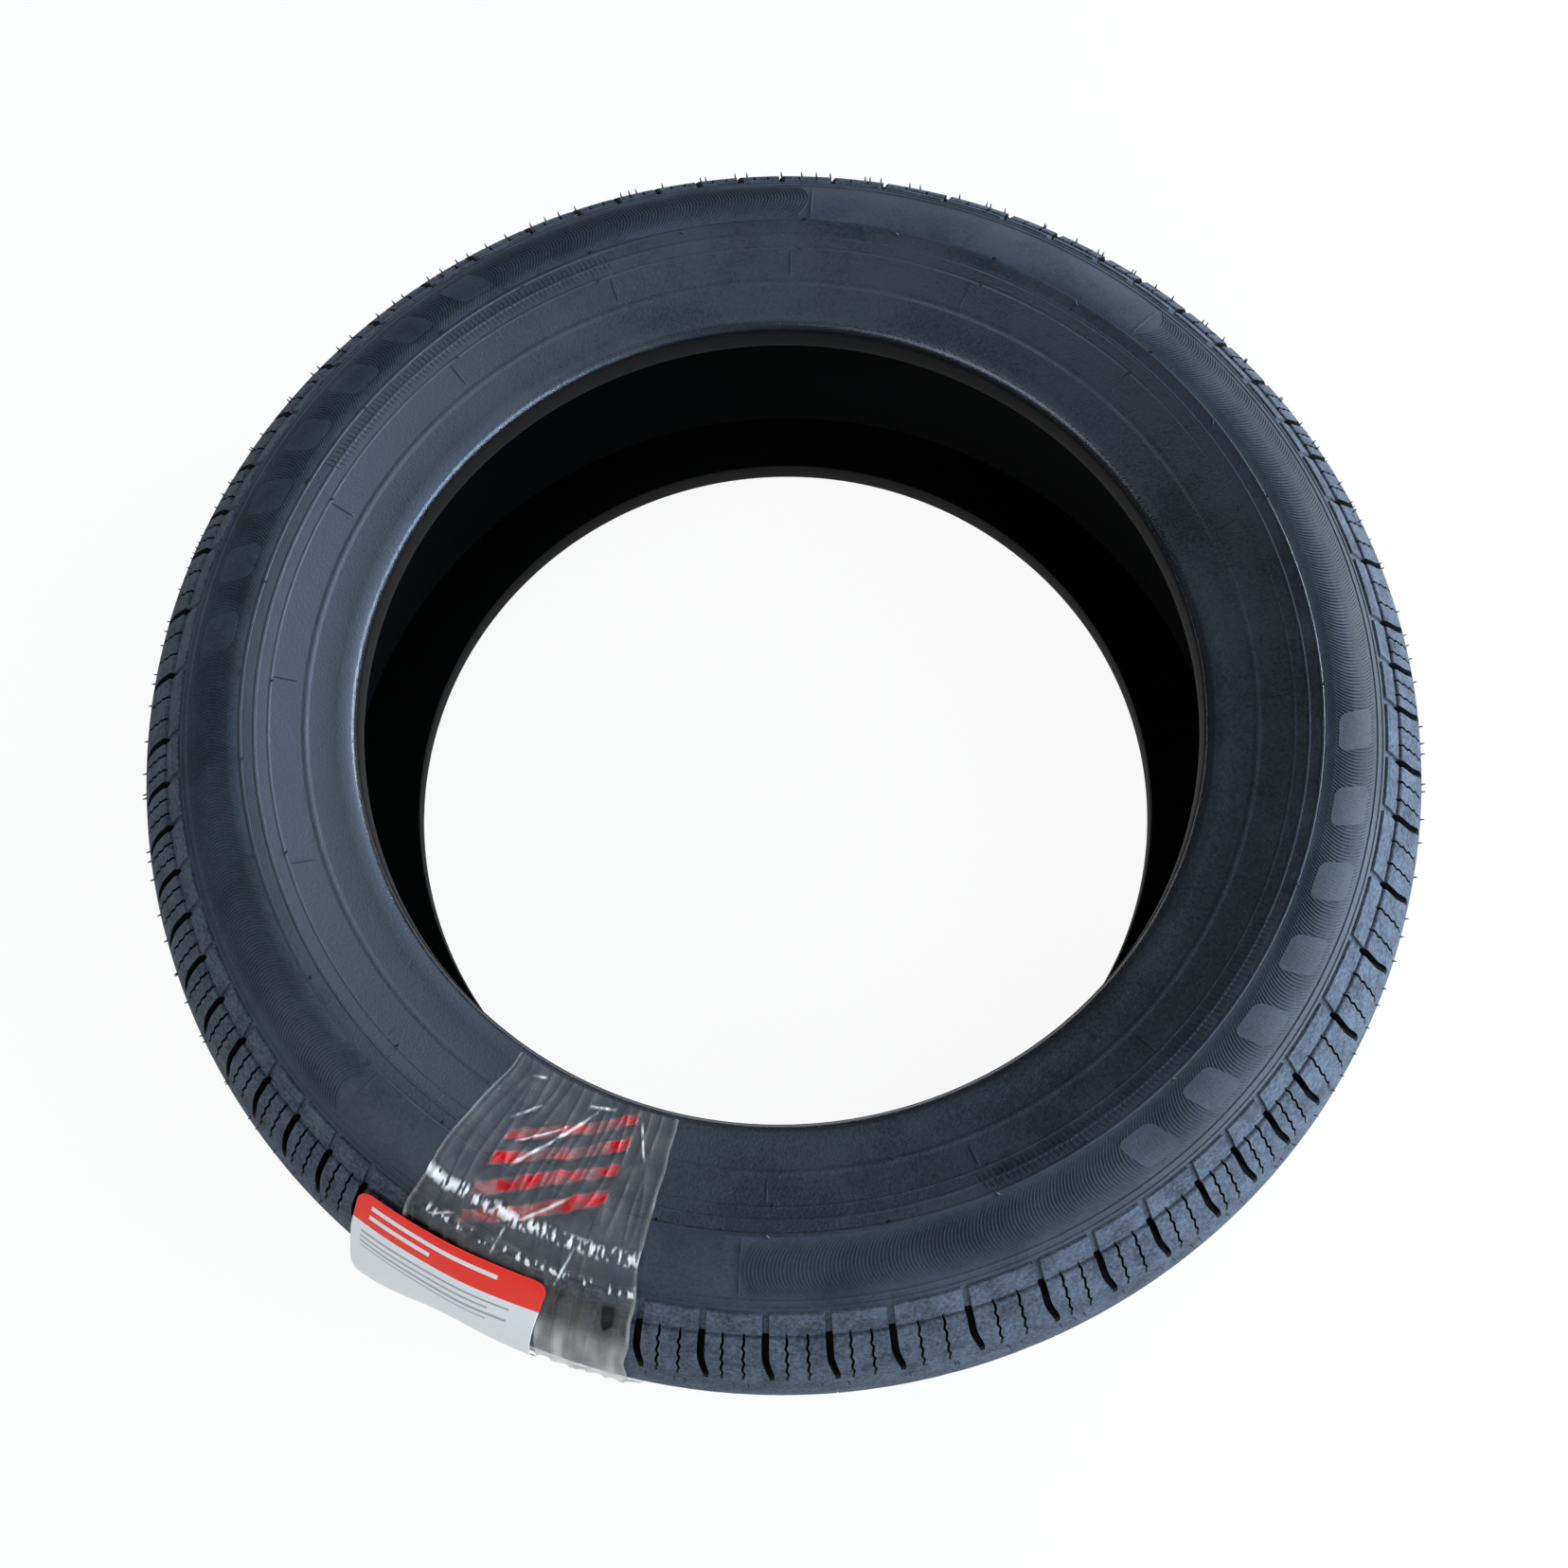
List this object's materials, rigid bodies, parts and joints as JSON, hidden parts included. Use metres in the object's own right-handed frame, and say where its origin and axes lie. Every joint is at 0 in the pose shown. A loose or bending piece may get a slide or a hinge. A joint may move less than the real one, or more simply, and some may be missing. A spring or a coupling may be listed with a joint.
{
  "type": "car tyre",
  "caption": "Car tyre with bead seats, ringed sidewalls, buttress panels, slotted shoulder blocks and a grooved tread, with wrapping film and a card label over one shoulder.",
  "frame": {"origin": "on the wheel's axis, halfway between the two bead seats", "axes": "+Z along the wheel's axis, out of the sidewall that faces up; the film and the label lie over the shoulder on the -X, -Y side"},
  "size_m": [0.5535, 0.5534, 0.1811],
  "materials": {
    "rubber": "new moulded rubber, satin",
    "film": "clear stretched film",
    "card": "coated card"
  },
  "bodies": {
    "root": {"tyre": "rubber", "film_strip": "film", "label": "card"}
  },
  "joints": []
}
